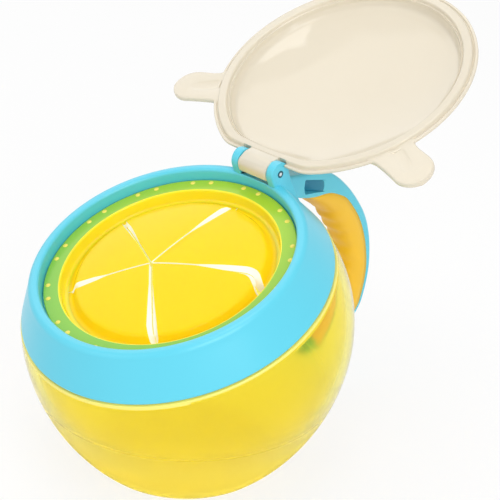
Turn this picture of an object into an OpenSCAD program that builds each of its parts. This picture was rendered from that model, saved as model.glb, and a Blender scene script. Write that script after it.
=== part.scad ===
// Spill-resistant snack cup for a small child: a round see-through bowl, a tilted
// push-on collar that runs into a C-shaped handle, a soft star-slit top that a hand
// pushes through, and a hinged lid.
// Origin at the middle of the base, +Z up, -Y to the front, hinge and handle on +Y.

/* [Bowl] */
// Diameter of the round bowl
bowl_d = 90; // [89:0.5:91]
// Wall thickness of the bowl
bowl_wall = 2.2; // [1.8:0.1:2.6]

/* [Rim] */
// Tilt of the collar and lid
tilt = 21; // [19:0.5:23]
// Width of the free edge under the lid, from crest to ledge wall
crest_round = 2.68; // [2.6:0.02:2.7]

/* [Flap membrane] */
// Thickness of the soft flaps
flap_t = 1; // [0.8:0.1:1.2]
// Slit width near the middle of the star
slit = 0.5; // [0.4:0.05:0.8]
// Slit width at its open outer end
slit_end = 2.4; // [1.5:0.1:3]
// Pairs of plugs through the ledge
plug_pairs = 13; // [7:1:13]

/* [Lid] */
// How far the lid stands open at rest
lid_open = 172.2; // [160:0.2:172.2]
// Thickness of the lid's panel
lid_wall = 1.8; // [1.4:0.1:2]
// Radius of the rounded end of a side tab
tab_r = 5.7; // [5.2:0.05:6.2]

/* [Handle] */
// Width of the handle grip
grip_w = 11; // [10:0.5:12]
// Ribs across the finger side of the grip
rib_count = 6; // [3:1:6]

/* [Hidden] */
$fn = 96;
eps = 0.01;
gap = 0.3;

// Bowl: sphere above, flatter arc below, flat base. Heights are from the sphere's middle.
bowl_r = bowl_d / 2;
centre_z = 40.4;
turn_a = 16;
low_r = bowl_r + 12.7;
low_c = -12.7 * [cos(turn_a), -sin(turn_a)];
base_round = 2;
shoulder_h = 12.9;
shoulder_t = 2.2;
neck_step_h = 15.6;
neck_r = [38.2, 37];
neck_bore = 34.8;
neck_top = 17.6;

// Collar: radii and heights in the rim's own frame
collar_bottom = shoulder_h + gap;
collar_r = 43;
crest_c = [35.2, 24.9 - crest_round];
mouth_r = 34.6;
inner_round = 0.6;
ledge_top = 20.6;
ledge_bottom = 18.8;
ledge_r = 30.7;
seal_r = [34.95, 36.9];
seal_top = 19.3;

// Hinge
hinge = [37.3, 27.5];
ear_x = [5.4, 7.8];
ear_r = 3.3;
barrel_x = 5.2;
relief_r = 3.9;
heel_r = 1.25;
heel = [[1.58, -1.22], [2.13, 0.67]];
pin_r = 1;
pin_run = 0.05;

// Plugs
plug_ring = 33;
plug_r = 0.55;
plug_pair_a = 9.4;
plug_start = 36.2;
keeper_r = [30.7, 34.3];
keeper_t = 0.5;

// Membrane: dome on the rim's axis, star a little off it
flange_r = 34.2;
dome_top = 22.8;
dome_r = 25.2;
dome_edge = 20.6;
star = [-3.2, -3.3];
bends = [[12.5, -18.6], [21.7, 9.6], [-2.9, 23.4], [-21.2, 4.6], [-16.4, -17.8]];
ends = [[16.2, -21.6], [26.9, 6.3], [-2.4, 27], [-26.6, 6.6], [-19.3, -19.3]];
fold_gap = 0.05;
root_bevel = 28;

// Lid, drawn closed
lid_r = 38.1;
bead_h = 25.2;
lid_in_r = 33.6;
lid_top = 37.5;
notch = [[8.3, 33.65], [8.5, 34.9], [11.5, 35], [14.5, 35.7], [16.5, 37.8], [16.5, 42]];
tab_a = 27.3;
tab_reach = 46.5;
tab_h = 25.9;
tab_t = 1.8;

// Handle: arcs about one axis parallel to the hinge
grip_c = [30.2, -1.4];
grip_in = 31.4;
spine_in = 36.8;
spine_out = 38.8;
root_w = 12;
tip_c = [20.3, -25.4];
tip_r = 2.2;
tip_half = 2.5;
rib_half = 3.3;
taper_from = -20;
taper_a = 9.5;

function arc(c, r, a0, a1, n) =
    [for (i = [0:n]) c + r * [cos(a0 + (a1 - a0) * i / n), sin(a0 + (a1 - a0) * i / n)]];
function unit(v) = v / norm(v);
function left(v) = [-v[1], v[0]];
function polar(r, a) = r * [cos(a), sin(a)];
function next(i) = (i + 1) % 5;

module rim() {
    translate([0, 0, centre_z]) rotate([tilt, 0, 0]) children();
}

// Flat outline in the (y, z) plane, z from the sphere's middle, made w thick about x = 0
module along_x(w) {
    rotate([90, 0, 90]) translate([0, 0, -w / 2]) linear_extrude(w) children();
}

module about_grip() {
    translate([0, grip_c[0], centre_z + grip_c[1]]) rotate([90, 0, 90]) children();
}

module disc(r, h0, h1) {
    translate([0, 0, h0]) cylinder(r = r, h = h1 - h0);
}

module above(h) {
    translate([-60, -60, h]) cube([120, 120, 60]);
}

// ---- Bowl ----
module bowl_form(d) {
    r = bowl_r - d;
    z_base = -centre_z + d;
    low = low_r - d;
    f_a = asin((low_c[1] - z_base - base_round) / (low - base_round));
    f_c = low_c + (low - base_round) * [cos(f_a), -sin(f_a)];
    translate([0, 0, centre_z]) rotate_extrude() polygon(concat(
        [[0, r]],
        arc([0, 0], r, 86, 2 - turn_a, 25),
        arc(low_c, low, -turn_a, -f_a, 8),
        arc(f_c, base_round, -f_a - 10, -90, 3),
        [[0, z_base]]));
}

module bowl() {
    color("gold", 0.5) difference() {
        union() {
            difference() {
                bowl_form(0);
                rim() above(shoulder_h);
            }
            rim() disc(neck_r[0], shoulder_h - 1, neck_step_h);
            rim() disc(neck_r[1], neck_step_h - 1, neck_top);
        }
        difference() {
            bowl_form(bowl_wall);
            rim() above(shoulder_h - shoulder_t);
        }
        rim() disc(neck_bore, shoulder_h - 8, neck_top + 1);
    }
}

module bowl_seal() {
    color("whitesmoke") rim() difference() {
        disc(seal_r[1], neck_top + 0.02, seal_top);
        disc(seal_r[0], neck_top - 1, seal_top + 1);
    }
}

// ---- Collar and handle frame ----
module collar_ring() {
    rotate_extrude() difference() {
        union() {
            polygon([[neck_r[0] + gap, collar_bottom + 0.4], [neck_r[0] + gap + 0.4, collar_bottom],
                [collar_r - 0.4, collar_bottom], [collar_r, collar_bottom + 0.5],
                [37.64, 23.34], crest_c, [mouth_r + inner_round, 24.9], [mouth_r, 24.3],
                [mouth_r, ledge_top], [ledge_r, ledge_top], [ledge_r, ledge_bottom],
                [neck_r[1] + gap, ledge_bottom], [neck_r[1] + gap, neck_step_h + gap],
                [neck_r[0] + gap, neck_step_h + gap]]);
            translate(crest_c) circle(crest_round);
        }
        translate([mouth_r - 10, ledge_top]) square([10, 10]);
        translate([seal_r[0] - 0.04, ledge_bottom - 1]) square([seal_r[1] - seal_r[0] + 0.08,
            seal_top - ledge_bottom + 1.02]);
    }
}

module plugs(r, h0, h1) {
    for (i = [0:plug_pairs - 1], side = [-1, 1])
        rotate(plug_start + i * 360 / plug_pairs + side * plug_pair_a / 2)
            translate([plug_ring, 0, h0]) cylinder(r = r, h = h1 - h0, $fn = 16);
}

module ears() {
    for (side = [-1, 1])
        translate([side * (ear_x[0] + ear_x[1]) / 2, 0, 0])
            rotate([90, 0, 90]) translate([0, 0, (ear_x[0] - ear_x[1]) / 2])
                linear_extrude(ear_x[1] - ear_x[0]) {
                    translate(hinge) circle(ear_r);
                    polygon([hinge + [-ear_r, 0], hinge + [-ear_r, -2.4], [35.2, 22.5],
                        [36.6, 19.4], [39.4, 18], [41.2, 16.4], hinge + [ear_r, -8],
                        hinge + [ear_r, 0]]);
                }
}

// Root of the handle, between the ears and the grip
root_top = [28.5, 36.2];
seam = [[39.5, 27.3], polar(spine_in, 45) + grip_c];
module root() {
    translate([0, 0, centre_z]) along_x(root_w) polygon(concat(
        [[30.5, 31], root_top],
        arc(grip_c, spine_out, 64, 45, 6),
        [seam[1], seam[0], [33.9, 29]]));
}

module root_pockets() {
    for (side = [-1, 1])
        translate([side * root_w / 2, 0, centre_z]) along_x(6) {
            polygon([[37.4, 33.4], [46.3, 31.2], [46.5, 27.3], [37.8, 28.9]]);
            translate([46.4, 29.25]) circle(1.95);
        }
}

// Takes the sides of the lower handle in towards its free end
module taper() {
    for (side = [-1, 1])
        about_grip() rotate([0, 0, taper_from]) translate([0, 0, side * grip_w / 2])
            rotate([side * taper_a, 0, 0]) translate([0, -60, side > 0 ? 0 : -20])
                cube([60, 60, 20]);
}

module spine() {
    difference() {
        about_grip() rotate([0, 0, -46]) rotate_extrude(angle = 91)
            translate([spine_in, -grip_w / 2]) square([spine_out - spine_in, grip_w]);
        taper();
    }
}

// Core that the soft grip is moulded round, and the bare rounded free end
module frame_core() {
    about_grip() rotate([0, 0, -45]) rotate_extrude(angle = 95)
        translate([grip_in + 2, -1.5]) square([spine_in - grip_in - 1.6, 3]);
}

module free_end() {
    about_grip() translate([0, 0, -tip_half]) {
        translate(tip_c) cylinder(r = tip_r, h = 2 * tip_half);
        linear_extrude(2 * tip_half) polygon([tip_c + polar(tip_r, 125), polar(31.6, -47),
            polar(spine_out, -44), polar(spine_out - 0.2, -45.6), tip_c + polar(tip_r, -58)]);
    }
}

module collar() {
    color("turquoise") difference() {
        union() {
            rim() {
                difference() {
                    collar_ring();
                    translate([-ear_x[0], hinge[0], hinge[1]]) rotate([0, 90, 0])
                        cylinder(r = relief_r, h = 2 * ear_x[0]);
                }
                ears();
            }
            difference() {
                root();
                rim() disc(40, 0, 19);
                root_pockets();
            }
            spine();
            frame_core();
            free_end();
        }
        rim() {
            plugs(plug_r, ledge_bottom - 1, ledge_top + 1);
            translate([-20, hinge[0], hinge[1]]) rotate([0, 90, 0]) cylinder(r = pin_r, h = 40);
        }
    }
}

module grip_section() {
    r_in = 1.8;
    w = grip_w / 2;
    translate([grip_in + r_in, -w]) square([spine_in - grip_in - r_in, grip_w]);
    translate([grip_in, r_in - w]) square([r_in + 0.1, grip_w - 2 * r_in]);
    for (side = [-1, 1])
        translate([grip_in + r_in, side * (w - r_in)]) circle(r_in);
}

module handle_grip() {
    color("orange") difference() {
        union() {
            difference() {
                about_grip() rotate([0, 0, -47]) rotate_extrude(angle = 92) grip_section();
                taper();
            }
            translate([0, 0, centre_z]) along_x(grip_w - 1) polygon(concat(
                [seam[1], seam[0] + [0.05, 0]],
                [for (p = [[27.8, 60], [28.8, 45], [30.2, 28], [grip_in + 0.1, 17]])
                    grip_c + polar(p[0], p[1])],
                [grip_c + polar(spine_in - 1, 18)]));
            for (i = [0:rib_count - 1])
                about_grip() rotate([0, 0, 30 - 10 * i])
                    translate([grip_in + 0.7, 0, -rib_half]) cylinder(r = 1.2, h = 2 * rib_half);
        }
        frame_core();
        free_end();
        root();
    }
}

module hinge_pin() {
    color("silver") rim() translate([-ear_x[1] - 0.1, hinge[0], hinge[1]]) rotate([0, 90, 0])
        cylinder(r = pin_r, h = 2 * ear_x[1] + 0.2);
}

// ---- Flap membrane ----
dome_big = (pow(dome_r, 2) + pow(dome_top - dome_edge, 2)) / (2 * (dome_top - dome_edge));
function dome_arc(t) = [for (i = [0:6]) let (a = asin(dome_r / dome_big) * i / 6)
    [(dome_big - t) * sin(a), dome_top - dome_big + (dome_big - t) * cos(a)]];

module membrane_shell() {
    t = flap_t;
    rotate_extrude() polygon(concat(
        dome_arc(0),
        [[26, 20.1], [26.4, 19.2]],
        arc([28.1, 17.5], 1.1, 200, 340, 4),
        [[29.65, 20.9], [30.3, 21.5], [flange_r - 0.3, 21.5], [flange_r, 21.2],
            [flange_r, ledge_top], [ledge_r - 0.1, ledge_top], [ledge_r - 0.1, 18.4], [30.2, 16.8]],
        arc([28.1, 17.5], 1.1 + t, 330, 210, 4),
        [[25.5, 18.9]],
        [for (i = [6:-1:0]) dome_arc(t)[i]]));
}

// Edge of a flap along slit i, from near the star's middle out to the bend; s = 1 is the
// slit's anticlockwise side
function slit_edge(i, s) = let (
    d = bends[i] - star,
    a = unit(d),
    b = unit(ends[i] - bends[i]))
    [star + 1.1 * a + s * slit * 0.8 * left(a),
        star + 0.45 * d + s * slit / 2 * left(a),
        bends[i] + s * slit_end / 2 * left(unit(a + b))];

// Flap i folds along the line between two bends, level with its lowest inner edge
function fold(i) = [slit_edge(i, 1)[2], slit_edge(next(i), -1)[2]];
function fold_dir(i) = unit(fold(i)[1] - fold(i)[0]);
function under(r) = dome_top - dome_big + sqrt(pow(dome_big - flap_t, 2) - r * r);
function fold_h(i) = min([for (p = fold(i)) under(norm(p))]);

module flap_outline(i) {
    a = slit_edge(i, 1);
    b = slit_edge(next(i), -1);
    polygon([a[0], a[1], a[2], b[2], b[1], b[0]]);
}

// Wedge outside the fold line, leaning over the flap's root so that the flap can lift
module beyond_fold(i) {
    f = fold(i);
    d = fold_dir(i);
    translate([f[0][0], f[0][1], fold_h(i)]) rotate(atan2(d[1], d[0])) rotate([-root_bevel, 0, 0])
        translate([-10, -30, -12]) cube([60, 30, 40]);
}

module flap(i) {
    color("yellow") rim() difference() {
        intersection() {
            membrane_shell();
            translate([0, 0, 10]) linear_extrude(20) flap_outline(i);
        }
        beyond_fold(i);
    }
}

module membrane() {
    color("yellow") rim() {
        difference() {
            membrane_shell();
            translate([0, 0, 10]) linear_extrude(20) {
                polygon([for (i = [0:4], k = [0, 1]) fold(i)[k] - fold_gap * left(fold_dir(i))]);
                for (i = [0:4]) open_end(i);
            }
        }
        difference() {
            disc(keeper_r[1], ledge_bottom - keeper_t, ledge_bottom);
            disc(keeper_r[0] - 0.3, ledge_bottom - 2, ledge_bottom + 1);
        }
        plugs(plug_r, ledge_bottom - 0.2, ledge_top + 0.2);
    }
}

// Slot that carries a slit on from its bend into the ring that stays
module open_end(i) {
    b = unit(ends[i] - bends[i]);
    w = slit_end / 2 * left(b);
    polygon([bends[i] - b + w, bends[i] - b - w, ends[i] - w, ends[i] + w]);
}

module flap_1() { flap(0); }
module flap_2() { flap(1); }
module flap_3() { flap(2); }
module flap_4() { flap(3); }
module flap_5() { flap(4); }

// ---- Lid, drawn closed and then swung open about the hinge ----
lid_big = (pow(33, 2) + pow(lid_top - 31, 2)) / (2 * (lid_top - 31));
function lid_arc(t, r) = [for (i = [0:6]) let (a = asin(r / (lid_big - t)) * i / 6)
    [(lid_big - t) * sin(a), lid_top - lid_big + (lid_big - t) * cos(a)]];

module lid_shell() {
    rotate_extrude() polygon(concat(
        lid_arc(0, 33),
        [[36.3, 28], [36.6, 27.1], [lid_r - 0.3, 26.8], [lid_r, 26.5], [lid_r - 0.3, 26.2],
            [36.7, 26], [36.5, bead_h + 0.3], [36.2, bead_h], [34, bead_h], [lid_in_r + 0.1, bead_h + 0.3],
            [lid_in_r, 27.4], [lid_in_r - 0.7, 28.8]],
        [for (i = [6:-1:0]) lid_arc(lid_wall, 31.4)[i]]));
}

module lid_tabs() {
    for (side = [0, 1]) mirror([side, 0, 0]) rotate(tab_a)
        translate([0, 0, tab_h]) difference() {
            linear_extrude(tab_t) {
                translate([tab_reach, 0]) circle(tab_r);
                polygon([[36.6, -5.2], [38.6, -4.5], [42.4, -tab_r + 0.5],
                    [tab_reach, 0] + polar(tab_r - 0.01, -98), [tab_reach, 0] + polar(tab_r - 0.01, 78.5),
                    [36.6, 7.6]]);
            }
            translate([40.5, -0.9, -eps]) cube([6, 2.6, 0.5]);
            for (x = [40.5, 46.5]) translate([x, 0.4, -eps]) cylinder(r = 1.3, h = 0.5);
        }
}

// Tongue round the pin with a blunt, round-cornered heel
module lid_lug() {
    rotate([90, 0, 90]) translate([0, 0, -barrel_x]) linear_extrude(2 * barrel_x)
        polygon(concat([[34.6, 29.4], [33.2, 29.2], [33.2, 27.4], [33.4, 25.5], [36.4, 24.5]],
            arc(hinge + heel[0], heel_r, -83, -8, 5), arc(hinge + heel[1], heel_r, -8, 80, 6)));
}

// Gap in the lid's rim round the ears, flared on both sides
module ear_gap() {
    linear_extrude(60) polygon(concat([for (p = notch) p], [for (i = [5:-1:0]) [-notch[i][0], notch[i][1]]]));
}

module lid() {
    color("ivory", 0.7) rim()
        translate([0, hinge[0], hinge[1]]) rotate([-lid_open, 0, 0]) translate([0, -hinge[0], -hinge[1]])
            difference() {
                union() {
                    difference() {
                        union() {
                            lid_shell();
                            lid_tabs();
                        }
                        ear_gap();
                    }
                    lid_lug();
                }
                translate([-20, hinge[0], hinge[1]]) rotate([0, 90, 0])
                    cylinder(r = pin_r + pin_run, h = 40);
            }
}

bowl();
bowl_seal();
collar();
handle_grip();
membrane();
flap_1();
flap_2();
flap_3();
flap_4();
flap_5();
lid();
hinge_pin();
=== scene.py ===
"""Looks of a toddler's snack cup: see-through bowl, tilted aqua collar with a C-shaped handle,
soft star-slit top, cream lid. Shapes are worked out in millimetres and written in metres."""
import math

import bmesh
import bpy
import numpy as np
from mathutils import Matrix

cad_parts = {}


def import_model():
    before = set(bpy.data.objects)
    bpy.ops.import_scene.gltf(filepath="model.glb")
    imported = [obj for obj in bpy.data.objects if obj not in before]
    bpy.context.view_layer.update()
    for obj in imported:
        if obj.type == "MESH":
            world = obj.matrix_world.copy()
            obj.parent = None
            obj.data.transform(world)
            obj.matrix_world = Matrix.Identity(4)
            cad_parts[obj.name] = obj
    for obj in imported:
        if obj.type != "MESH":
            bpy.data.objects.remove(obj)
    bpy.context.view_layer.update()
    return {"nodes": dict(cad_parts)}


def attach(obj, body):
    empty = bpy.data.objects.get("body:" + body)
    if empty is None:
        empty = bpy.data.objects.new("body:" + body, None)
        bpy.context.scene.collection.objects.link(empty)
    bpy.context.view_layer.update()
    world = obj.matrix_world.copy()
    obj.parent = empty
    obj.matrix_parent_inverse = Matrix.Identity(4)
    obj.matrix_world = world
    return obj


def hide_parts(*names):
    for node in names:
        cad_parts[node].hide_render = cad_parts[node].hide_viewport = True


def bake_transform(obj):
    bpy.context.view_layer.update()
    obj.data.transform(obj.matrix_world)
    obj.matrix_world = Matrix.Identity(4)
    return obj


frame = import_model()

MM = 0.001
TAU = 2 * math.pi
TINY = 1e-6  # keeps a length off zero before it divides
QUARTER = math.pi / 2 - 0.02  # just short of a quarter turn, where two edge lines would meet
TILT = math.radians(21.0)  # lean of the rim towards the front
CENTRE = 40.4  # height of the bowl's sphere centre
HINGE = np.array([37.3, 27.5])  # pin, as (u, h) of the rim
LID_OPEN = math.radians(172.2)
GRIP_C = np.array([30.2, -1.4])  # middle of the handle's arcs, as (y, z from the sphere's centre)


# ---------------------------------------- frames and outlines
def in_rim(p):
    """Points (x, u, h) of the tilted rim, turned about X by the tilt and raised to the sphere's centre."""
    p = np.asarray(p, float)
    x, u, h = p[..., 0], p[..., 1], p[..., 2]
    return np.stack([x, u * math.cos(TILT) - h * math.sin(TILT),
                     CENTRE + u * math.sin(TILT) + h * math.cos(TILT)], -1)


def in_lid(p):
    """Points of the closed lid in rim coordinates, swung open about the hinge line."""
    p = np.asarray(p, float)
    x, u, h = p[..., 0], p[..., 1] - HINGE[0], p[..., 2] - HINGE[1]
    c, s = math.cos(-LID_OPEN), math.sin(-LID_OPEN)
    return in_rim(np.stack([x, u * c - h * s + HINGE[0], u * s + h * c + HINGE[1]], -1))


def upright(p):
    """Points (x, y, z) with z from the sphere's centre."""
    return np.asarray(p, float) + [0, 0, CENTRE]


def polar(r, degrees):
    """Point at a radius and an angle from the first axis."""
    a = np.radians(degrees)
    return np.stack([r * np.cos(a), r * np.sin(a)], -1)


def rounded(corners, steps=6):
    """Open outline from (a, b, radius) corners: each corner becomes an arc tangent to its two sides."""
    out = []
    c = np.array(corners, float)
    for i, (p, r) in enumerate(zip(c[:, :2], c[:, 2])):
        if i in (0, len(c) - 1) or r <= 0:
            out.append(p[None])
            continue
        v0, v1 = c[i - 1, :2] - p, c[i + 1, :2] - p
        l0, l1 = np.linalg.norm(v0), np.linalg.norm(v1)
        v0, v1 = v0 / l0, v1 / l1
        half = math.acos(np.clip(v0 @ v1, -1, 1)) / 2
        reach = min(r / math.tan(half), 0.49 * l0, 0.49 * l1)
        r = reach * math.tan(half)
        mid = (v0 + v1) / np.linalg.norm(v0 + v1) * (r / math.sin(half))
        a0, a1 = v0 * reach - mid, v1 * reach - mid
        t0, t1 = math.atan2(a0[1], a0[0]), math.atan2(a1[1], a1[0])
        turn = (t1 - t0 + math.pi) % TAU - math.pi
        t = t0 + turn * np.linspace(0, 1, steps)
        out.append(p + mid + r * np.stack([np.cos(t), np.sin(t)], -1))
    return np.vstack(out)


def resampled(line, t):
    """The line at the fractional row numbers t, straight between its own rows."""
    i = np.arange(len(line))
    return np.stack([np.interp(t, i, line[:, 0]), np.interp(t, i, line[:, 1])], -1)


def dense(outline, step):
    """The outline with points added along its straight stretches, no further apart than step."""
    seg = np.linalg.norm(np.diff(outline, axis=0), axis=1)
    n = np.maximum(np.ceil(seg / step).astype(int), 1)
    return resampled(outline, np.concatenate([i + np.arange(k) / k for i, k in enumerate(n)] + [[len(n)]]))


def dense_rows(line, k):
    """The line with k rows for each of its rows."""
    return resampled(line, np.linspace(0, len(line) - 1, (len(line) - 1) * k + 1))


def smooth(x):
    """Ease from 0 to 1: three times the square less twice the cube."""
    x = np.clip(x, 0, 1)
    return x * x * (3 - 2 * x)


def through(points, steps):
    """Curve through the points with even tangents (Catmull-Rom), steps rows to a span."""
    p = np.array(points, float)
    p = np.vstack([2 * p[0] - p[1], p, 2 * p[-1] - p[-2]])
    t = np.linspace(0, 1, steps, endpoint=False)[:, None]
    spans = [0.5 * (2 * b + (c - a) * t + (2 * a - 5 * b + 4 * c - d) * t ** 2
                    + (3 * b - a - 3 * c + d) * t ** 3)
             for a, b, c, d in zip(p, p[1:], p[2:], p[3:])]
    return np.vstack(spans + [p[-2][None]])


# ---------------------------------------- meshes
MERGE, FLAT = 2e-7, 1e-8  # metres: points this near are one, edges this short go


def piece(name, points, wrap_rows=False, cap_rows=False, ladder=False, second=()):
    """Closed skin over a grid of points (rows, columns, 3) in mm. Columns join round; rows join
    round too, or end in poles, or are capped, with one face or with a ladder of them between
    column k and column (last - k). Faces after the columns in second take the object's second
    finish. Doubles are merged and faces turned outwards."""
    rows, cols = points.shape[:2]
    r = np.arange(rows if wrap_rows else rows - 1)[:, None]
    c = np.arange(cols)[None]
    r1, c1 = (r + 1) % rows, (c + 1) % cols
    quads = np.stack([r * cols + c, r * cols + c1, r1 * cols + c1, r1 * cols + c], -1)
    faces = quads.reshape(-1, 4).tolist()
    last_row = (rows - 1) * cols
    if cap_rows:
        faces += [list(range(cols))[::-1], list(range(last_row, rows * cols))]
    if ladder:
        k = np.arange(cols // 2 - 1)
        rung = np.stack([k, k + 1, cols - 2 - k, cols - 1 - k], -1)
        faces += rung[:, ::-1].tolist() + (rung + last_row).tolist()
    mesh = bpy.data.meshes.new(name)
    mesh.from_pydata((points.reshape(-1, 3) * MM).tolist(), [], faces)
    finish = np.zeros((len(r), cols), np.int32)
    finish[:, list(second)] = 1
    ends = np.zeros(len(faces) - finish.size, np.int32)
    mesh.polygons.foreach_set("material_index", np.append(finish, ends))
    return tidied(name, mesh)


def tidied(name, mesh):
    """Object of the mesh with its doubles merged, its slivers gone and its faces outwards."""
    work = bmesh.new()
    work.from_mesh(mesh)
    bmesh.ops.remove_doubles(work, verts=work.verts, dist=MERGE)
    bmesh.ops.dissolve_degenerate(work, edges=work.edges, dist=FLAT)
    bmesh.ops.recalc_face_normals(work, faces=work.faces)
    work.to_mesh(mesh)
    work.free()
    mesh.polygons.foreach_set("use_smooth", np.ones(len(mesh.polygons), bool))
    return linked(bpy.data.objects.new(name, mesh))


def linked(obj):
    """The object, put into the scene."""
    bpy.context.scene.collection.objects.link(obj)
    return obj


def joined(name, parts):
    """One object from several closed skins."""
    work = bmesh.new()
    for part in parts:
        work.from_mesh(part.data)
        bpy.data.objects.remove(part)
    mesh = bpy.data.meshes.new(name)
    work.to_mesh(mesh)
    work.free()
    return linked(bpy.data.objects.new(name, mesh))


def turned(outline, cols):
    """Grid of the (radius, height) outline carried round its axis: radius times the cosine and
    sine of the angle."""
    a = np.linspace(0, TAU, cols, endpoint=False)
    r, h = outline[:, 0][:, None], outline[:, 1][:, None]
    return np.stack([r * np.cos(a), r * np.sin(a), h + 0 * a], -1)


def revolve(name, outline, place, cols):
    """Closed ring: the outline turned about the axis of its frame."""
    return piece(name, place(turned(outline, cols)), wrap_rows=True)


def bar(name, a, b, thick, half, round_a, round_b, place):
    """Bar between two edge lines a(s) and b(s) (n, 3). Each section is a rectangle from a to b,
    2 x half thick along the unit vector thick, with corners rounded by round_a and round_b."""
    n = len(a)
    half = np.broadcast_to(half, n).astype(float)
    span = np.linalg.norm(b - a, axis=1)
    along = (b - a) / np.maximum(span, TINY)[:, None]
    thick = np.broadcast_to(np.asarray(thick, float), (n, 3))
    quarter = np.linspace(0, math.pi / 2, 6)
    least, spare = 1e-5, 1e-4  # smallest corner, and what a corner leaves of half a side
    p, q = [], []
    for corner, (side, sign) in enumerate(((1, 1), (0, 1), (0, -1), (1, -1))):
        radius = np.minimum(np.minimum(round_b if side else round_a, span / 2 - spare), half - spare)
        radius = np.maximum(radius, least)[:, None]
        angle = quarter + corner * math.pi / 2
        p.append((span[:, None] - radius if side else radius) + radius * np.cos(angle))
        q.append(sign * (half[:, None] - radius) + radius * np.sin(angle))
    p, q = np.concatenate(p, 1), np.concatenate(q, 1)
    grid = a[:, None] + p[..., None] * along[:, None] + q[..., None] * thick[:, None]
    return piece(name, place(grid), cap_rows=True)


def prism(name, edge, x_from, x_to, place):
    """Straight bar across x over a closed outline of (u, h) points."""
    ends = [np.concatenate([np.full((len(edge), 1), x), edge], 1) for x in (x_from, x_to)]
    return piece(name, place(np.stack(ends)), cap_rows=True)


def flat3(p):
    """(u, h) or (y, z) points in the plane x = 0."""
    p = np.asarray(p, float)
    return np.stack([np.zeros(len(p)), p[:, 0], p[:, 1]], -1)


def cut(target, tool, operation="DIFFERENCE"):
    """Boolean of two closed skins; the tool goes."""
    mod = target.modifiers.new("cut", "BOOLEAN")
    mod.object, mod.operation, mod.solver = tool, operation, "EXACT"
    graph = bpy.context.evaluated_depsgraph_get()
    graph.update()
    made = bpy.data.meshes.new_from_object(target.evaluated_get(graph))
    target.modifiers.clear()
    target.data = made
    bpy.data.objects.remove(tool)
    return target


def sharpen(obj, degrees):
    """Smooth shading, broken at edges that turn more than the angle."""
    obj.data.polygons.foreach_set("use_smooth", np.ones(len(obj.data.polygons), bool))
    obj.data.set_sharp_from_angle(angle=math.radians(degrees))
    return obj


# ---------------------------------------- finishes
def linear(r, g, b):
    """Display colour (0 to 255) to the linear colour a shader takes."""
    v = np.array([r, g, b]) / 255
    return tuple(np.where(v <= 0.04045, v / 12.92, ((v + 0.055) / 1.055) ** 2.4)) + (1.0,)


def node(host, kind, sockets=None, **settings):
    """New shader node in a material or world. settings are its own properties; sockets gives its
    inputs a constant, or the output that feeds them."""
    made = host.node_tree.nodes.new("ShaderNode" + kind)
    for key, value in settings.items():
        setattr(made, key, value)
    for key, value in (sockets or {}).items():
        if isinstance(value, bpy.types.NodeSocket):
            host.node_tree.links.new(value, made.inputs[key])
        else:
            made.inputs[key].default_value = value
    return made


def shade(mat, **outputs):
    """Feeds the finish's shader: socket (with _ for a space) = output."""
    inputs = mat.node_tree.nodes["Principled BSDF"].inputs
    for socket, output in outputs.items():
        mat.node_tree.links.new(output, inputs[socket.replace("_", " ")])


def colour_now(mat):
    """Output that feeds the finish's base colour."""
    return mat.node_tree.nodes["Principled BSDF"].inputs["Base Color"].links[0].from_socket


def mixed(mat, share, a, b):
    """Colour a going over to b as share goes from 0 to 1."""
    return node(mat, "Mix", {"Factor": share, "A": a, "B": b}, data_type="RGBA").outputs["Result"]


def place_of(mat):
    """Object coordinates, in metres."""
    return node(mat, "TexCoord").outputs["Object"]


GRAIN, GRAIN_DEPTH = 900.0, 0.0002  # fine surface grain: scale, and height in metres
WANDER = 0.15  # share by which a roughness wanders to both sides


def finish_of(name, colour, other, rough, bump=0.02, cloud=45.0, **fixed):
    """Moulded finish: two near shades mixed by soft clouds, fine surface grain as bump and
    a roughness that wanders a little. Constants go on the shader's own sockets."""
    mat = bpy.data.materials.new(name)
    mat.use_nodes = True
    place = place_of(mat)
    clouds = node(mat, "TexNoise", {"Vector": place, "Scale": cloud, "Detail": 3}).outputs["Fac"]
    spread = node(mat, "MapRange", {"Value": clouds, "To Min": rough * (1 - WANDER),
                                    "To Max": rough * (1 + WANDER)})
    fine = node(mat, "TexNoise", {"Vector": place, "Scale": GRAIN, "Detail": 2})
    rise = node(mat, "Bump", {"Height": fine.outputs["Fac"], "Strength": bump, "Distance": GRAIN_DEPTH})
    shade(mat, Base_Color=mixed(mat, clouds, colour, other), Roughness=spread.outputs["Result"],
          Normal=rise.outputs["Normal"])
    for socket, value in fixed.items():
        mat.node_tree.nodes["Principled BSDF"].inputs[socket.replace("_", " ")].default_value = value
    return mat


def ringed(mat, middle, radius, dark):
    """Darker outside a radius from a line along x: the shade of the pin's countersink."""
    flat = node(mat, "VectorMath", {0: place_of(mat), 1: (0, 1, 1)}, operation="MULTIPLY")
    line = (0, float(middle[1]), float(middle[2]))
    away = node(mat, "VectorMath", {0: flat.outputs["Vector"], 1: line}, operation="DISTANCE")
    share = node(mat, "MapRange", {"Value": away.outputs["Value"], "From Min": radius,
                                   "From Max": radius * 1.2})
    shade(mat, Base_Color=mixed(mat, share.outputs["Result"], colour_now(mat), dark))


def graded(mat, front, rear, y_front, y_rear, weight=0.75):
    """Lays a change of colour from the front of the object to the hinge side over the finish."""
    split = node(mat, "SeparateXYZ", {0: place_of(mat)})
    share = node(mat, "MapRange", {"Value": split.outputs["Y"], "From Min": y_front, "From Max": y_rear})
    ramp = mixed(mat, share.outputs["Result"], front, rear)
    shade(mat, Base_Color=mixed(mat, weight, colour_now(mat), ramp))


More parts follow.
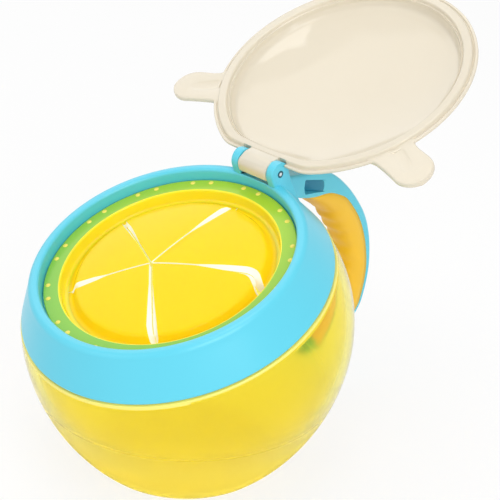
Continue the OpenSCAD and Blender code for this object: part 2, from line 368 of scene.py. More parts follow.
def shaded_towards_base(mat, base_shade_colour, clear, rough, height):
    """Towards the base the wall is thicker: less clear and softer to look through; its colour is deeper there
    as painted shade for the bowl's shadow on the floor below. clear and rough are (at the base, at the
    height), eased between the two."""
    split = node(mat, "SeparateXYZ", {0: place_of(mat)})
    rise = node(mat, "MapRange", {"Value": split.outputs["Z"], "From Max": height},
                interpolation_type="SMOOTHSTEP").outputs["Result"]
    ways = [node(mat, "MapRange", {"Value": rise, "To Min": low, "To Max": high}).outputs["Result"]
            for low, high in (clear, rough)]
    shade(mat, Transmission_Weight=ways[0], Roughness=ways[1],
          Base_Color=mixed(mat, rise, base_shade_colour, colour_now(mat)))


RUBBER = dict(bump=0.01, Subsurface_Weight=0.9, Subsurface_Scale=0.0012, Subsurface_Radius=(1.0, 0.8, 0.15),
              IOR=1.42)
CLEAR_YELLOW = finish_of("clear_yellow_shell", (0.999, 0.92, 0.20, 1), (0.998, 0.90, 0.17, 1), 0.07,
                         bump=0.004, IOR=1.3)
# painted shade: the bowl's colour deepens towards its base for its shadow on the floor below
shaded_towards_base(CLEAR_YELLOW, (0.97, 0.855, 0.125, 1), clear=(0.94, 0.95), rough=(0.8, 0.06), height=0.035)
# painted highlight: a paler, less clear yellow from the shoulder up stands for the bright line along the
# bowl's shoulder
SHOULDER_HIGHLIGHT_YELLOW = finish_of("painted_highlight_shoulder_yellow", (0.98, 0.90, 0.25, 1), (0.98, 0.87, 0.21, 1), 0.12,
                            bump=0.005, Transmission_Weight=0.25, IOR=1.42)
# painted light: near-white cream for the slit walls, standing for light on them
LIT_SLIT_WALL = finish_of("painted_light_slit_wall", (1.0, 0.98, 0.88, 1), (1.0, 0.97, 0.84, 1), 0.3, bump=0.005)
PLUG_YELLOW = finish_of("plug_yellow", linear(252, 232, 96), linear(248, 224, 84), 0.2, bump=0.005)
SOFT_YELLOW = finish_of("soft_yellow_rubber", (1.0, 0.69, 0.012, 1), (0.99, 0.665, 0.01, 1), 0.1,
                        Specular_IOR_Level=0.15, **RUBBER)
WALL_YELLOW = finish_of("glossy_trough_yellow", (0.93, 0.80, 0.035, 1), (0.91, 0.77, 0.03, 1), 0.12,
                        Specular_IOR_Level=0.4, **RUBBER)
LEDGE_GREEN = finish_of("yellow_over_aqua_ledge", linear(166, 212, 52), linear(134, 204, 92), 0.18,
                        bump=0.01, Specular_IOR_Level=0.3, cloud=26.0)
graded(LEDGE_GREEN, linear(134, 196, 76), linear(178, 208, 40), -0.03, 0.03)
AQUA = finish_of("aqua_plastic", linear(94, 207, 230), linear(90, 203, 227), 0.3, bump=0.03)
# painted shade: a darker copy of the aqua for the shade inside the handle's pockets
POCKET_SHADE_AQUA = finish_of("painted_pocket_shade_aqua", linear(44, 142, 172), linear(34, 130, 160), 0.4, bump=0.03)
GRIP = finish_of("orange_grip_rubber", linear(248, 200, 44), linear(243, 189, 34), 0.5, bump=0.12)
CREAM = finish_of("cream_clear_plastic", linear(241, 232, 212), linear(238, 228, 207), 0.07,
                  bump=0.01, Transmission_Weight=0.22, IOR=1.47)
STEEL = finish_of("pin_steel", linear(225, 232, 236), linear(210, 220, 226), 0.25, Metallic=1.0)
ringed(STEEL, in_rim([0, *HINGE]) * MM, 0.00045, linear(52, 96, 108))
SEAL = finish_of("seal_rubber", linear(238, 238, 232), linear(230, 230, 224), 0.4)


def dress(obj, material, body, replaces=None):
    """The piece in its finish, riding on a body, in place of a CAD node where it replaces one."""
    obj.data.materials.clear()
    obj.data.materials.append(material)
    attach(obj, body)
    if replaces:
        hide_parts(replaces)
    return obj


def add_finish(obj, material, where):
    """Second finish on the faces that answer where(x, u, h): their middle in rim coordinates."""
    obj.data.materials.append(material)
    n = len(obj.data.polygons)
    at = np.empty(3 * n)
    obj.data.polygons.foreach_get("center", at)
    x, y, z = at.reshape(n, 3).T / MM
    u = y * math.cos(TILT) + (z - CENTRE) * math.sin(TILT)
    h = (z - CENTRE) * math.cos(TILT) - y * math.sin(TILT)
    obj.data.polygons.foreach_set("material_index", where(x, u, h).astype(np.int32))


# ---------------------------------------- bowl
BOWL_R, TURN = 45.0, math.radians(16)  # sphere, and how far below its middle a flatter arc takes over
LOW_BACK = 12.7  # how much larger the flatter arc's radius is
LOW_R = BOWL_R + LOW_BACK
LOW_C = -LOW_BACK * np.array([math.cos(TURN), -math.sin(TURN)])
WALL, BASE_ROUND, INNER_ROUND = 2.2, 2.0, 12.0
SHOULDER, SHOULDER_EDGE = 12.9, 12.4  # heights over the rim's plane: flat shoulder, end of the sphere
NECK_FOOT_R, NECK_R, BORE_R = 38.2, 37.0, 34.8
NECK_FOOT, NECK_TOP = 15.6, 17.6
HIGHLIGHT_FROM = 12.2  # height from which the bowl is the paler, less clear yellow of the painted highlight along its shoulder
BOWL_COLS, LOW_ROWS, HIGH_ROWS = 288, 20, 34


def bowl_meridian(inset, corner, up_to):
    """Rings from the middle of the base to the elevation up_to(azimuth): flat base, round corner,
    flatter arc, then the sphere, all drawn in by the inset."""
    a = np.linspace(0, TAU, BOWL_COLS, endpoint=False)
    low, high = LOW_R - inset, BOWL_R - inset
    base = -CENTRE + inset
    meet = math.asin((LOW_C[1] - base - corner) / (low - corner))
    corner_c = LOW_C + (low - corner) * np.array([math.cos(meet), -math.sin(meet)])
    flat = np.linspace(0, corner_c[0], 8)
    t = np.linspace(-math.pi / 2, -meet, 8)[1:]
    s = np.linspace(-meet, -TURN, LOW_ROWS)[1:]
    r = np.concatenate([flat, corner_c[0] + corner * np.cos(t), LOW_C[0] + low * np.cos(s)])
    z = np.concatenate([0 * flat + base, corner_c[1] + corner * np.sin(t), LOW_C[1] + low * np.sin(s)])
    phi = -TURN + (up_to(a) + TURN) * np.linspace(0, 1, HIGH_ROWS)[1:, None]
    sphere = high * np.stack([np.cos(phi) * np.cos(a), np.cos(phi) * np.sin(a), np.sin(phi)], -1)
    return np.concatenate([turned(np.stack([r, z], -1), BOWL_COLS), sphere])


def elevation_at(height, radius):
    """Elevation at which a sphere meets the tilted plane at that height, for each azimuth."""
    def up_to(a):
        reach = np.hypot(math.cos(TILT), np.sin(a) * math.sin(TILT))
        lean = np.arctan2(np.sin(a) * math.sin(TILT), math.cos(TILT))
        return lean + np.arcsin(height / radius / reach)
    return up_to


def bowl_shell():
    """Outer skin, shoulder, neck, bore and inner skin joined ring by ring. The neck's columns stand
    where the tilted plane cuts the outer skin's meridians."""
    outer = bowl_meridian(0, BASE_ROUND, elevation_at(SHOULDER_EDGE, BOWL_R))
    inner = bowl_meridian(WALL, INNER_ROUND, elevation_at(SHOULDER - WALL, BOWL_R - WALL))
    last = outer[-1]
    theta = np.arctan2(last[:, 1] * math.cos(TILT) + last[:, 2] * math.sin(TILT), last[:, 0])
    edge = math.sqrt(BOWL_R ** 2 - SHOULDER_EDGE ** 2)
    neck = rounded([(edge, SHOULDER_EDGE, 0), (edge - 0.15, SHOULDER, 0.4), (NECK_FOOT_R, SHOULDER, 0.3),
                    (NECK_FOOT_R, NECK_FOOT, 0.3), (NECK_R, NECK_FOOT + 0.2, 0.3), (NECK_R, NECK_TOP, 0.4),
                    (BORE_R, NECK_TOP, 0.4), (BORE_R, SHOULDER - WALL, 0.6),
                    (BORE_R + 6.4, SHOULDER - WALL, 0)])[1:-1]
    r, h = neck[:, :1], neck[:, 1:]
    ring = np.stack([r * np.cos(theta), r * np.sin(theta), h + 0 * theta], -1)
    return piece("bowl_shell", np.concatenate([upright(outer), in_rim(ring), upright(inner[::-1])]))


add_finish(dress(bowl_shell(), CLEAR_YELLOW, "bowl", "bowl"), SHOULDER_HIGHLIGHT_YELLOW,
           lambda x, u, h: h > HIGHLIGHT_FROM)


# ---------------------------------------- collar and handle frame
SKIRT_IN, SKIRT_OUT, SKIRT_LOW = 38.5, 43.0, 13.2
CREST_TOP, MOUTH_R = 24.9, 34.6
LEDGE_R, LEDGE_TOP, LEDGE_LOW = 30.7, 20.6, 18.8
GROOVE_R, GROOVE_LOW = 37.3, 15.9
HEEL_CLEAR = 3.9  # the lid's heel turns inside this radius round the pin
EAR_IN, EAR_OUT, EAR_FLARE, EAR_ROUND = 5.4, 7.8, 2.6, 0.35
EAR_R, EAR_FRONT, EAR_BACK = 3.25, 20.4, 17.2  # head's radius, heights of the foot
LEAN_FRONT, LEAN_BACK, LEAN_POWER, FLARE_POWER = 1.9, 0.9, 2.2, 2.6


def collar_ring():
    """Skirt flush with the bowl, domed crest, mouth wall, ledge and the groove over the neck."""
    outline = rounded([(SKIRT_IN, 15, 0), (SKIRT_IN, SKIRT_LOW, 0.3), (SKIRT_OUT, SKIRT_LOW - 0.05, 0.45),
                       (38.2, 22.6, 30), (37.2, CREST_TOP, 2.4), (MOUTH_R, CREST_TOP, 0.9),
                       (MOUTH_R - 0.05, LEDGE_TOP, 0.15), (LEDGE_R, LEDGE_TOP, 0.3),
                       (LEDGE_R, LEDGE_LOW, 0.3), (GROOVE_R, LEDGE_LOW, 0.2), (GROOVE_R, GROOVE_LOW, 0.2),
                       (SKIRT_IN, GROOVE_LOW, 0.2), (SKIRT_IN, 15, 0)], 8)
    ring = revolve("collar_ring", dense(outline[:-1], 0.8), in_rim, 360)
    heel = HINGE + polar(HEEL_CLEAR, np.linspace(0, 360, 97)[:-1])
    return cut(ring, prism("heel_relief", heel, -EAR_IN, EAR_IN, in_rim))


def ear(side):
    """Flat plate up to a round head about the pin. Towards the foot it leans forward and its
    outer face flares sideways into the crest, by a power of the way down."""
    lift = np.linspace(0, 1, 24)[:-1]
    low = (1 - lift) ** LEAN_POWER
    front = np.stack([HINGE[0] - EAR_R + LEAN_FRONT * low, EAR_FRONT + (HINGE[1] - EAR_FRONT) * lift], -1)
    back = np.stack([HINGE[0] + EAR_R - LEAN_BACK * low, EAR_BACK + (HINGE[1] - EAR_BACK) * lift], -1)
    turn = np.linspace(0, QUARTER, 24)
    head_f = HINGE + EAR_R * np.stack([-np.cos(turn), np.sin(turn)], -1)
    head_b = HINGE + EAR_R * np.stack([np.cos(turn), np.sin(turn)], -1)
    outer = np.concatenate([EAR_OUT + EAR_FLARE * (1 - lift) ** FLARE_POWER, np.full(24, EAR_OUT)])
    mid, half = side * (outer + EAR_IN) / 2, (outer - EAR_IN) / 2
    a, b = flat3(np.vstack([front, head_f])), flat3(np.vstack([back, head_b]))
    a[:, 0], b[:, 0] = mid, mid
    return bar(f"ear_{'right' if side > 0 else 'left'}", a, b, (1, 0, 0), half, EAR_ROUND, EAR_ROUND,
               in_rim)


def around(radius_angle):
    """(radius, degrees) about the handle's centre as (y, z)."""
    return [tuple(GRIP_C + polar(r, a)) for r, a in radius_angle]


# Handle in side view, in matching rows: back of the frame, seam between frame and grip, finger side.
BACK = through([(28.0, 35.5), (30.2, 36.2), (35.0, 35.4), (41.5, 34.5)] + around(
    [(38.75, 64.4), (38.7, 59.6), (38.6, 54.7), (38.5, 50), (38.45, 43.3), (38.55, 36), (39.0, 27),
     (39.3, 18), (39.4, 8), (39.4, -3), (39.15, -14), (38.85, -25), (38.6, -36), (38.4, -46)]), 10)
SEAM = through([(30.6, 31.0), (33.0, 29.6), (36.4, 28.2), (40.4, 27.1), (43.7, 26.6), (46.6, 26.5),
                (49.6, 26.0), (52.3, 24.9)] + around(
    [(35.4, 43.3), (35.7, 36), (36.2, 27), (36.6, 18), (37.1, 8), (37.7, -3), (37.8, -14), (37.75, -25),
     (37.6, -36), (37.4, -46)]), 10)
FINGER = through([(39.9, 26.95), (42.6, 25.1), (45.2, 23.1), (47.6, 21.4), (49.6, 20.0)] + around(
    [(29.3, 43.3), (29.1, 36), (29.4, 27), (30.4, 18), (31.1, 8), (31.4, -3), (31.4, -14), (31.4, -25),
     (31.4, -36), (31.4, -46)]), 10)
SEAM_FROM = 30  # row of the seam at which the grip begins
HANDLE_HALF, BACK_ROUND, SEAM_ROUND = 5.5, 1.1, 0.35
TAPER_FROM, TAPER_RATE, TAPER_OVER = -20, 0.108, 40  # degrees, mm a degree, degrees
ROOT_ROWS, ROOT_EXTRA = 45.0, 0.6  # the root is wider by this, over this many rows


def handle_angle(yz):
    """Radius and angle in degrees of side-view points about the handle's centre."""
    d = yz - GRIP_C
    return np.hypot(d[..., 0], d[..., 1]), np.degrees(np.arctan2(d[..., 1], d[..., 0]))


def taper(yz):
    """Half width at a side-view point: drawn in over the lower handle towards its free end."""
    return HANDLE_HALF - TAPER_RATE * np.clip(TAPER_FROM - handle_angle(yz)[1], 0, TAPER_OVER)


POCKET = rounded([(37.3, 31, 0), (37.5, 33.4, 0.5), (46.6, 31.0, 2.4), (48.2, 27.2, 2.2), (37.8, 28.9, 0.5),
                  (37.3, 31, 0)], 8)[:-1]
POCKET_C = POCKET.mean(0)
POCKET_FLOOR, POCKET_RUN_OUT = 1.6, 4.0  # floor's distance from the middle, and how far it runs out
POCKET_FROM, POCKET_LONG = 39.5, 8.4  # y where the running out begins, and its length
POCKET_ROUND, POCKET_SHRINK = 0.6, 0.14
POCKET_GROW, POCKET_SKIN = 1.08, 0.15  # for the shaded finish: outline's share, depth of a side face
POCKET_PAST = 9.0  # the tool ends this far from the middle, outside the handle


def in_pocket(x, u, h):
    """True well inside the side faces of the frame, within the pockets' outline: where the painted shade
    goes.
    """
    y = u * math.cos(TILT) - h * math.sin(TILT)
    z = u * math.sin(TILT) + h * math.cos(TILT)
    grown = POCKET_C + (POCKET - POCKET_C) * POCKET_GROW
    hit = np.zeros(len(y), bool)
    for (y0, z0), (y1, z1) in zip(grown, np.roll(grown, -1, 0)):
        crosses = (z0 > z) != (z1 > z)
        hit ^= crosses & (y < (y1 - y0) * (z - z0) / np.where(z1 == z0, 1e-9, z1 - z0) + y0)
    return hit & (np.abs(x) < HANDLE_HALF - POCKET_SKIN)


def pocket_tool(side):
    """Slab over the pocket's outline, deep at the hinge end and running out towards the bend, its
    floor's edge a quarter round: less the sine of the turn in depth, less the cosine in outline."""
    beta = np.linspace(0, math.pi / 2, 5)
    shrink = 1 - POCKET_SHRINK * (1 - np.cos(beta))
    scale = np.concatenate([[0], shrink[::-1], [1, 0]])
    yz = POCKET_C + (POCKET - POCKET_C)[None] * scale[:, None, None]
    floor_x = POCKET_FLOOR + POCKET_RUN_OUT * smooth((yz[..., 0] - POCKET_FROM) / POCKET_LONG)
    lift = np.concatenate([[0], POCKET_ROUND * (1 - np.sin(beta[::-1])), [0, 0]])[:, None]
    x = side * (floor_x + POCKET_ROUND - lift)
    x[-2:] = side * POCKET_PAST
    return piece("pocket", upright(np.concatenate([x[..., None], yz], -1)))


def handle_frame():
    """Bar between the back line and the seam: deep at the root, a strip outside the grip."""
    half = taper(BACK) + ROOT_EXTRA * (1 - smooth(np.arange(len(BACK)) / ROOT_ROWS))
    frame_bar = bar("handle_frame", flat3(BACK), flat3(SEAM), (1, 0, 0), half, BACK_ROUND, SEAM_ROUND,
                    upright)
    for side in (-1, 1):
        cut(frame_bar, pocket_tool(side))
    return sharpen(frame_bar, 40)


TIP = GRIP_C + np.array([20.3, -25.4])
TIP_R, TIP_HALF, TIP_ROUND, TIP_TURN = 2.2, 2.7, 1.0, -55
TIP_FROM, TIP_BACK_R, TIP_FINGER_R = -44.5, 38.4, 31.4  # where the end begins: degrees, two radii


def free_end():
    """Rounded bare end of the frame: outer edge line and inner edge line run to one small arc."""
    t = np.linspace(0, 1, 10)[:, None]
    out_line = (1 - t) * (GRIP_C + polar(TIP_BACK_R, TIP_FROM)) + t * (TIP + polar(TIP_R, TIP_TURN))
    in_line = (1 - t) * (GRIP_C + polar(TIP_FINGER_R, TIP_FROM)) + t * (TIP + polar(TIP_R, TIP_TURN + 180))
    turn = np.linspace(0, 88, 14)[1:]
    out_arc = TIP + polar(TIP_R, TIP_TURN - turn)
    in_arc = TIP + polar(TIP_R, TIP_TURN + 180 + turn)
    a, b = np.vstack([in_line, in_arc]), np.vstack([out_line, out_arc])
    return bar("handle_tip", flat3(a), flat3(b), (1, 0, 0), TIP_HALF, TIP_ROUND, TIP_ROUND, upright)


RIPPLE, RIPPLE_STEP, RIPPLE_AT, RIPPLE_BOW = 0.24, 10.0, 27, 1.5  # mm, then degrees
RIPPLE_FROM, RIPPLE_TO, RIPPLE_EASE = -16, 50, 8  # degrees
RIPPLE_HALF, RIPPLE_R, RIPPLE_DIES = 5.6, 35.2, 3.6  # mm: half width, radius at which it is gone, over


def ribbed(grid):
    """Shallow ripples on the finger side: a cosine of the angle about the handle's centre, deepest in
    the middle of the width, bending down to both sides and dying out at the corners."""
    r, phi = handle_angle(grid[..., 1:])
    across = np.clip(np.abs(grid[..., 0]) / RIPPLE_HALF, 0, 1)
    turn = (phi - RIPPLE_AT + RIPPLE_BOW * across ** 2) * 360 / RIPPLE_STEP
    wave = RIPPLE * (1 + np.cos(np.radians(turn))) * (1 - across ** 4) ** 0.5
    wave *= smooth((phi - RIPPLE_FROM) / RIPPLE_EASE) * smooth((RIPPLE_TO - phi) / RIPPLE_EASE)
    wave *= smooth((RIPPLE_R - r) / RIPPLE_DIES)
    out = grid.copy()
    out[..., 1:] = GRIP_C + (grid[..., 1:] - GRIP_C) * ((r - wave) / r)[..., None]
    return upright(out)


NOSE_POWER, NOSE_DEEP = 0.85, 0.72  # finger side's curve: power, share of the depth it takes
SEAM_IN, SEAM_LAP = 0.98, 0.2  # grip's width at the seam, and how far it goes into the frame


def grip():
    """Soft grip from the seam to the finger side: flat-sided by the seam, then one full curve
    (a superellipse) over the finger side, rippled."""
    inner, outer = dense_rows(FINGER, 3), dense_rows(SEAM[SEAM_FROM:], 3)
    span = np.linalg.norm(outer - inner, axis=1)
    out = (outer - inner) / span[:, None]
    half = taper(outer)[:, None]
    t = np.linspace(-math.pi / 2, math.pi / 2, 41)
    nose = half * np.sign(np.sin(t)) * np.abs(np.sin(t)) ** NOSE_POWER
    depth = NOSE_DEEP * span[:, None] * (1 - np.cos(t) ** NOSE_POWER)
    seam = half * np.array([SEAM_IN, 0.9, 0.5, 0, -0.5, -0.9, -SEAM_IN])
    x = np.concatenate([nose, seam], 1)
    p = np.concatenate([depth, np.broadcast_to(span[:, None] + SEAM_LAP, seam.shape)], 1)
    yz = inner[:, None] + p[..., None] * out[:, None]
    return piece("grip", ribbed(np.concatenate([x[..., None], yz], -1)), cap_rows=True)


dress(collar_ring(), AQUA, "collar", "collar")
for made in (ear(1), ear(-1), free_end()):
    dress(made, AQUA, "collar", None)
# painted shade inside the pockets of the handle frame
add_finish(dress(handle_frame(), AQUA, "collar", None), POCKET_SHADE_AQUA, in_pocket)
dress(grip(), GRIP, "collar", "handle_grip")


# ---------------------------------------- flap membrane
DOME_TOP, DOME_R, DOME_EDGE = 22.8, 25.2, 20.6
DOME_BIG = (DOME_R ** 2 + (DOME_TOP - DOME_EDGE) ** 2) / (2 * (DOME_TOP - DOME_EDGE))
DOME_END = 24.6  # radius at which the dome turns over into its shoulder
TROUGH_LOW, TROUGH_UNDER = 18.3, 17.2
FLANGE_TOP, FLANGE_UNDER, FLANGE_R = 21.5, 20.65, 34.25
WALL_R, WALL_UNDER_R = 29.75, 30.6  # the trough's steep outer wall, over and under
GREEN_FROM = 30.3  # radius from which the flange takes the ledge's colour
SKIN_T = 1.0


def membrane_line():
    """(radius, height) from the axis over the dome, an arc of one large circle, and its round
    shoulder to the trough's bottom."""
    a = np.linspace(0, math.asin(DOME_END / DOME_BIG), 40)
    dome = np.stack([DOME_BIG * np.sin(a), DOME_TOP - DOME_BIG + DOME_BIG * np.cos(a)], -1)
    rest = rounded([(*dome[-1], 0), (25.7, 20.45, 2.4), (27.1, TROUGH_LOW, 1.4), (28.2, TROUGH_LOW, 0)], 12)
    return dense(np.vstack([dome, rest[1:]]), 0.25)


LINE = membrane_line()
JOIN_R = LINE[-1, 0]
NEAR_BY = 0.05  # half the step over which the outline's slope is taken


def membrane_height(r):
    """Height of the membrane's outline at a radius."""
    return np.interp(r, LINE[:, 0], LINE[:, 1])


def membrane_normal(r):
    """Upward unit normal of the membrane's outline at a radius, as (radial, height): the slope
    between two near radii, turned a quarter."""
    low, high = np.maximum(r - NEAR_BY, 0), r + NEAR_BY
    slope = (membrane_height(high) - membrane_height(low)) / (high - low)
    n = np.stack([-slope, np.ones_like(slope)], -1)
    return n / np.linalg.norm(n, axis=-1, keepdims=True)


# The slits in plan: where they meet, where each bends at its flap's fold, and where each ends.
STAR, STAR_GAP = np.array([-3.2, -3.3]), 0.35
BENDS = np.array([[12.5, -18.6], [21.7, 9.6], [-2.9, 23.4], [-21.2, 4.6], [-16.6, -18.2]])
ENDS = np.array([[16.3, -21.8], [27.4, 6.0], [-2.3, 26.2], [-26.4, 6.5], [-18.6, -19.9]])
BEND_ROUND, END_ROUND = 4, 1
WIDE_FROM, WIDE_SHARE = 0.78, 0.65  # share of the way to the bend, and of the widening reached there
# Width of each slit at the star, part of the way, at the bend and at its end; where it starts to open.
SLIT_W = [(0.9, 0.9, 2.6, 2.2, 0.35), (0.35, 0.35, 3.1, 2.3, 0.45), (0.35, 0.35, 2.3, 1.4, 0.55),
          (0.35, 0.35, 1.5, 1.3, 0.5), (0.35, 0.35, 2.2, 1.6, 0.6)]
ROWS, ACROSS = 130, 40
EASE_FROM = -0.1  # below 0, so that the first rows keep their radii


def slit_line(i):
    """Middle line of slit i from the star to the join, its left-hand normals and its widths. Rows
    crowd where the outline drops steeply. The slit's end is round."""
    join = ENDS[i] / np.linalg.norm(ENDS[i]) * JOIN_R
    way = rounded([(*STAR, 0), (*BENDS[i], BEND_ROUND), (*ENDS[i], END_ROUND), (*join, 0)], 8)
    gone = np.concatenate([[0], np.cumsum(np.linalg.norm(np.diff(way, axis=0), axis=1))])

    def at(distance):
        return np.stack([np.interp(distance, gone, way[:, 0]), np.interp(distance, gone, way[:, 1])], -1)

    fine = np.linspace(0, gone[-1], 1500)
    drop = 2 * np.diff(membrane_height(np.linalg.norm(at(fine), axis=1)))
    arc = np.concatenate([[0], np.cumsum(np.hypot(np.diff(fine), drop))])
    row = np.interp(np.linspace(np.interp(STAR_GAP, fine, arc), arc[-1], ROWS), arc, fine)
    tangent = np.gradient(at(row), axis=0)
    tangent /= np.linalg.norm(tangent, axis=1)[:, None]
    left = np.stack([-tangent[:, 1], tangent[:, 0]], -1)
    w0, w1, w2, w3, opens = SLIT_W[i]
    bend = np.linalg.norm(BENDS[i] - STAR)
    end = bend + np.linalg.norm(ENDS[i] - BENDS[i])
    widening = w1 + (w2 - w1) * WIDE_SHARE
    width = np.interp(row, [0, opens * bend, WIDE_FROM * bend, bend, end], [w0, w1, widening, w2, w3])
    close = np.clip((end - row) / (w3 / 2), 0, 1)
    return at(row), left, np.where(row < end, width * np.sqrt(close * (2 - close)), 0.0)


SLITS = [slit_line(i) for i in range(5)]
EDGE_IN = np.array([0, 0.05, 0.14, 0.3])  # distances from a slit of the columns that round its edge
EDGE_DROP, EDGE_RIB, RIB_WIDE, RIB_ENDS = 0.22, 0.35, 1.6, 1.2
EDGE_MOST = 0.3  # share of a row that one edge may take
UNDER_HALF = 0.17  # half a slit's width underneath
OPEN_WIDTH = 0.05  # width of both slits together from which their edges are rounded


def flap_plan(i):
    """Flap i in plan, between the edges of two slits: rows from the star to the join, columns
    crowding at both edges. A row's radius eases on to the radius between its two ends, so that the
    outer rows run round the circle. Gives the plan, its radii and the distance to the nearer edge."""
    (a, left_a, width_a), (b, left_b, width_b) = SLITS[i], SLITS[(i + 1) % 5]
    a = a + left_a * width_a[:, None] / 2
    b = b - left_b * width_b[:, None] / 2
    span = np.linalg.norm(b - a, axis=1)[:, None]
    edge = np.minimum(EDGE_IN, EDGE_MOST * span)
    inner = edge[:, -1:] + (span - 2 * edge[:, -1:]) * np.linspace(0, 1, ACROSS)[None, 1:-1]
    across = np.concatenate([edge, inner, (span - edge)[:, ::-1]], 1)
    share = across / span
    plan = a[:, None] + (b - a)[:, None] * share[..., None]
    r_a, r_b = (np.linalg.norm(line, axis=1)[:, None] for line in (a, b))
    grow = smooth(np.linspace(EASE_FROM, 1, ROWS))[:, None]
    r = np.maximum(np.linalg.norm(plan, axis=2), TINY)
    plan = plan * (1 + grow * ((r_a + (r_b - r_a) * share) / r - 1))[..., None]
    r = np.linalg.norm(plan, axis=2)
    plan = plan * np.minimum(1, JOIN_R / np.maximum(r, TINY))[..., None]
    return plan, np.minimum(r, JOIN_R), np.minimum(across, span - across)


def flap_skin(i):
    """Flap i with its share of the trough: its plan lifted on to the membrane's outline, a skin
    thick, with its slit edges rounded over by a quarter ellipse and a low rib under them. The
    faces inside the slits take the second finish, a near-white painted light on the slit walls."""
    plan, r, away = flap_plan(i)
    near, far = SLITS[i], SLITS[(i + 1) % 5]
    open_here = ((near[2] + far[2]) > OPEN_WIDTH)[:, None]
    drop = EDGE_DROP * (1 - np.sqrt(1 - (1 - np.clip(away / EDGE_IN[-1], 0, 1)) ** 2)) * open_here
    rib = EDGE_RIB * (1 - smooth(away / RIB_WIDE)) * smooth((JOIN_R - r) / RIB_ENDS)
    n = membrane_normal(r)
    way = plan / np.maximum(np.linalg.norm(plan, axis=2), TINY)[..., None]

    def shell(depth):
        out = plan - way * (n[..., :1] * depth[..., None])
        return np.concatenate([out, (membrane_height(r) - n[..., 1] * depth)[..., None]], -1)

    top, under = shell(drop), shell(SKIN_T - drop * 0.5 + rib)
    # slanted cut faces: underneath, the slit is only a line wide
    for column, sign, (_, left, width) in ((0, 1, near), (-1, -1, far)):
        under[:, column, :2] -= sign * left * np.maximum(width[:, None] / 2 - UNDER_HALF, 0)
    ring = np.concatenate([top, under[:, ::-1]], 1)
    last = top.shape[1] - 1
    return piece(f"flap_skin_{i + 1}", in_rim(ring), ladder=True, second=(0, last - 1, last, 2 * last + 1))


def membrane_ring():
    """Trough's outer half, wall and flange on the ledge, closed underneath."""
    outline = rounded([(JOIN_R, TROUGH_LOW, 0), (29.3, TROUGH_LOW, 1.3), (WALL_R, FLANGE_TOP, 0.5),
                       (FLANGE_R, FLANGE_TOP, 0.3), (FLANGE_R, FLANGE_UNDER, 0.1),
                       (WALL_UNDER_R, FLANGE_UNDER, 0.1), (WALL_UNDER_R, 18.6, 0.6),
                       (30.2, TROUGH_UNDER, 1.2), (JOIN_R, TROUGH_UNDER, 0)], 8)
    return revolve("membrane_ring", dense(outline, 0.6), in_rim, 360)


PLUG_PAIRS, PLUG_CIRCLE, PLUG_FIRST, PLUG_APART = 13, 33.0, 36.2, 4.7  # angles in degrees
PLUG_R, PLUG_RISE, PLUG_H = 0.75, 0.28, 21.45


def plug_heads():
    """Low round heads of the membrane's plugs through the ledge, in pairs on one circle: spheres
    pressed flat, radius times the sine and rise times the cosine of one angle."""
    t = np.linspace(0, math.pi, 9)
    head = turned(np.stack([PLUG_R * np.sin(t), PLUG_RISE * np.cos(t)], -1), 16)
    heads = []
    for k in range(2 * PLUG_PAIRS):
        angle = PLUG_FIRST + 360 / PLUG_PAIRS * (k // 2) + (PLUG_APART if k % 2 else -PLUG_APART)
        heads.append(piece("plug_head", in_rim(head + [*polar(PLUG_CIRCLE, angle), PLUG_H])))
    return joined("plug_heads", heads)


ring = sharpen(dress(membrane_ring(), WALL_YELLOW, "collar", "membrane"), 38)
add_finish(ring, LEDGE_GREEN, lambda x, u, h: np.hypot(x, u) > GREEN_FROM)
dress(plug_heads(), PLUG_YELLOW, "collar", None)
for k in range(5):
    skin = sharpen(flap_skin(k), 38)
    skin.data.materials.append(SOFT_YELLOW)
    # painted light on the slit walls: their faces take the near-white cream
    skin.data.materials.append(LIT_SLIT_WALL)
    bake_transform(skin)
    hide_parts(f"flap_{k + 1}")


# ---------------------------------------- lid
LID_TOP, LID_R, LID_RISE, LID_WALL = 37.5, 33.0, 6.5, 1.8
LID_BIG = (LID_R ** 2 + LID_RISE ** 2) / (2 * LID_RISE)
LID_LIP, LID_INNER = 38.1, 27.0  # radius of the lip, and the radius inside which nothing moves
CHORD, CHORD_SOFT = 35.35, 0.35  # straight edge on the hinge side, and how softly it begins


def lid_arc(radius, r_from, r_to):
    """Part of a circle about the dome's centre, as (radius times the sine, height plus radius times
    the cosine) of the angle from the axis."""
    a = np.linspace(math.asin(r_from / radius), math.asin(r_to / radius), 30)
    return np.stack([radius * np.sin(a), LID_TOP - LID_BIG + radius * np.cos(a)], -1)


